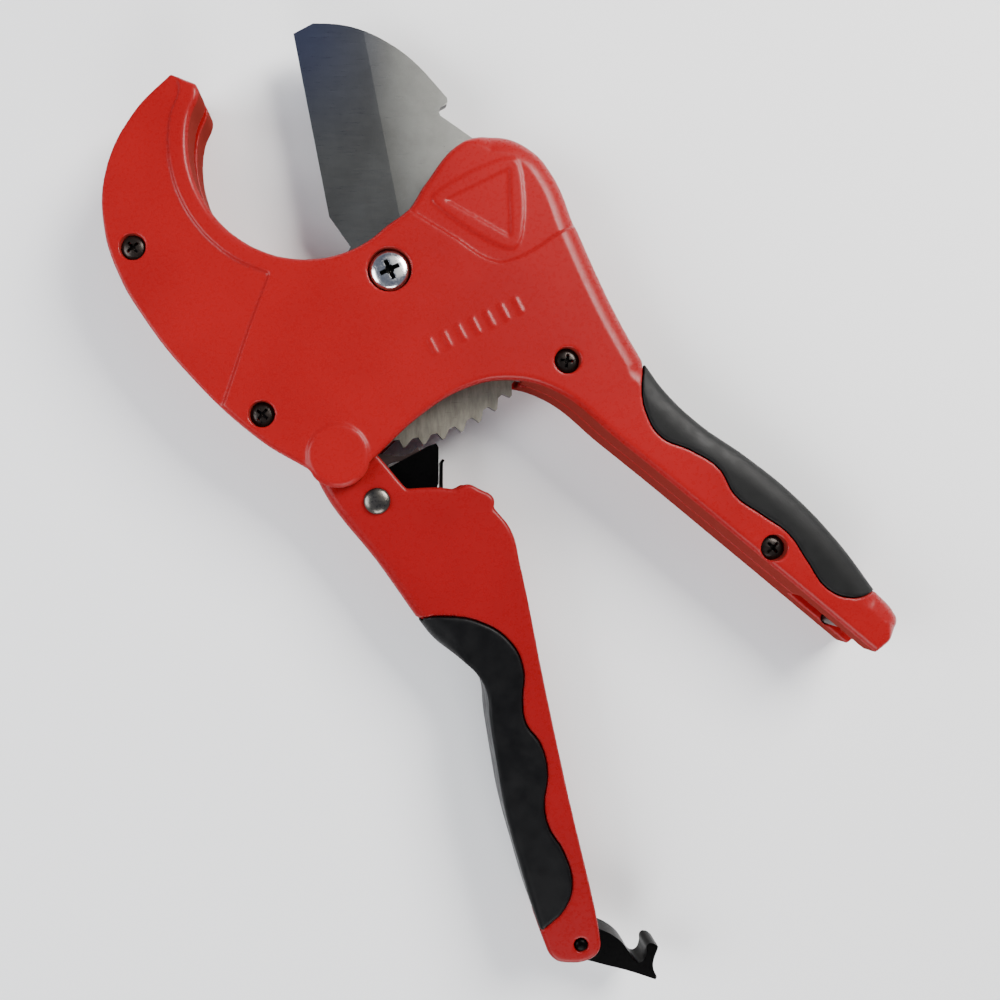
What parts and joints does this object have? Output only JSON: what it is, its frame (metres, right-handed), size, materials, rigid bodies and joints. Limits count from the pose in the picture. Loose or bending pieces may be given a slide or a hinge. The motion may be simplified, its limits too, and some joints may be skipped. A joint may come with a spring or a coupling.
{
  "type": "pvc pipe cutter",
  "caption": "Ratchet hand cutter for plastic pipe: hooked jaw in two cast shells, a toothed pivoting blade, pawls, a moving handle, rubber grips and a storage latch.",
  "frame": {"origin": "centre of the outline, at the back faces that the tool lies on", "axes": "+Z from the back to the front face, along every pivot; +Y from the handles to the jaw; +X to the right seen from the front"},
  "size_m": [0.2252, 0.2782, 0.0258],
  "materials": {
    "red_paint": "semi-gloss red paint on cast aluminium",
    "grip_rubber": "satin dark grey rubber",
    "dark_rubber": "matte black rubber",
    "blade_steel": "ground steel plate",
    "bright_steel": "bright plated steel",
    "spring_steel": "bright spring wire",
    "dark_steel": "oiled grey steel",
    "pawl_steel": "dark brown heat-treated steel",
    "black_steel": "black oxide steel"
  },
  "bodies": {
    "body": {"front_shell": "red_paint", "rear_shell": "red_paint", "fixed_handle_grip": "grip_rubber", "blade_pivot_bolt": "bright_steel", "blade_pivot_nut": "dark_steel", "blade_washer_front": "dark_steel", "blade_washer_rear": "dark_steel", "blade_return_spring": "spring_steel", "shell_screw_1": "black_steel", "shell_screw_2": "black_steel", "shell_screw_3": "black_steel", "shell_screw_4": "black_steel", "handle_pivot_pin": "dark_steel", "handle_spacer_front": "dark_steel", "handle_spacer_rear": "dark_steel", "hold_pawl_spring": "spring_steel", "latch_catch_pin": "dark_steel"},
    "blade": {"blade": "blade_steel", "blade_spring_post": "dark_steel"},
    "hold_pawl": {"hold_pawl": "pawl_steel"},
    "moving_handle": {"moving_handle_frame": "red_paint", "moving_handle_grip": "dark_rubber", "feed_pawl_pin": "dark_steel", "feed_pawl_spring": "spring_steel", "latch_pin": "black_steel"},
    "feed_pawl": {"feed_pawl": "black_steel", "feed_pawl_leaf": "black_steel"},
    "latch": {"latch": "black_steel"}
  },
  "joints": [
    {"name": "blade_pivot", "type": "hinge", "parent": "body", "child": "blade", "pos_m": [-0.0316, 0.06425, 0.0125], "axis": [0, 0, 1], "range_deg": [-47.6, 54.4], "deforming": ["blade_return_spring"]},
    {"name": "handle_pivot", "type": "hinge", "parent": "body", "child": "moving_handle", "pos_m": [-0.046, 0.01225, 0.0125], "axis": [0, 0, 1], "range_deg": [0, 38.5]},
    {"name": "hold_pawl_pivot", "type": "hinge", "parent": "body", "child": "hold_pawl", "pos_m": [-0.046, 0.01225, 0.0125], "axis": [0, 0, 1], "range_deg": [0, 5], "stiffness_Nm_per_rad": 0.01},
    {"name": "feed_pawl_pivot", "type": "hinge", "parent": "moving_handle", "child": "feed_pawl", "pos_m": [-0.0351, -0.00075, 0.0125], "axis": [0, 0, 1], "range_deg": [-56, 0]},
    {"name": "latch_pivot", "type": "hinge", "parent": "moving_handle", "child": "latch", "pos_m": [0.0228, -0.12675, 0.0125], "axis": [0, 0, 1], "range_deg": [-15, 52.7]}
  ],
  "couplings": [
    {"joint": "feed_pawl_pivot", "follows": "handle_pivot", "ratio": -1.44}
  ]
}
